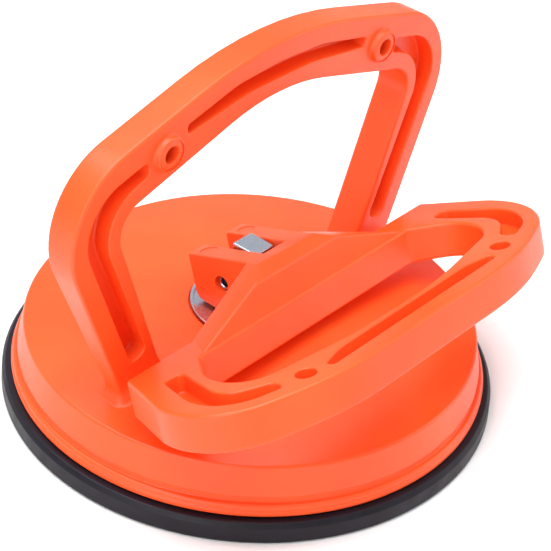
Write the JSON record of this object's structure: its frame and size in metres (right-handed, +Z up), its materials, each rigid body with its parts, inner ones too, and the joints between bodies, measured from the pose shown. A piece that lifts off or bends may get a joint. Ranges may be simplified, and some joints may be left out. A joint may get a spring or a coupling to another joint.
{
  "type": "vacuum suction cup lifter",
  "caption": "Hand-held vacuum lifter: rubber suction cup under a domed plastic base with a fixed arch handle and a cam lever that pulls the cup's centre up.",
  "frame": {"origin": "middle of the rubber cup's underside, on the surface it sits on", "axes": "+Z up out of the cup, +X along the pivot pin and the handles' width, the open lever towards -Y"},
  "size_m": [0.1234, 0.118, 0.093],
  "materials": {
    "base_plastic": "satin moulded",
    "lever_plastic": "satin moulded",
    "cup_rubber": "moulded, slightly glossy",
    "washer_steel": "zinc plated",
    "link_steel": "zinc plated",
    "insert_steel": "plain",
    "pin_steel": "polished"
  },
  "bodies": {
    "base": {"base_with_fixed_handle": "base_plastic", "rubber_cup": "cup_rubber", "dished_washer": "washer_steel"},
    "stem": {"insert_plate": "insert_steel", "steel_link": "link_steel"},
    "lever": {"cam_lever": "lever_plastic", "pivot_pin": "pin_steel"}
  },
  "joints": [
    {"name": "stem_lift", "type": "slide", "parent": "base", "child": "stem", "axis": [0, 0, 1], "range_m": [0, 0.0028]},
    {"name": "lever_hinge", "type": "hinge", "parent": "stem", "child": "lever", "pos_m": [0, 0.00223, 0.0307], "axis": [-1, 0, 0], "range_deg": [0, 56]}
  ],
  "couplings": [
    {"joint": "stem_lift", "follows": "lever_hinge", "m_per_rad": 0.002864}
  ]
}
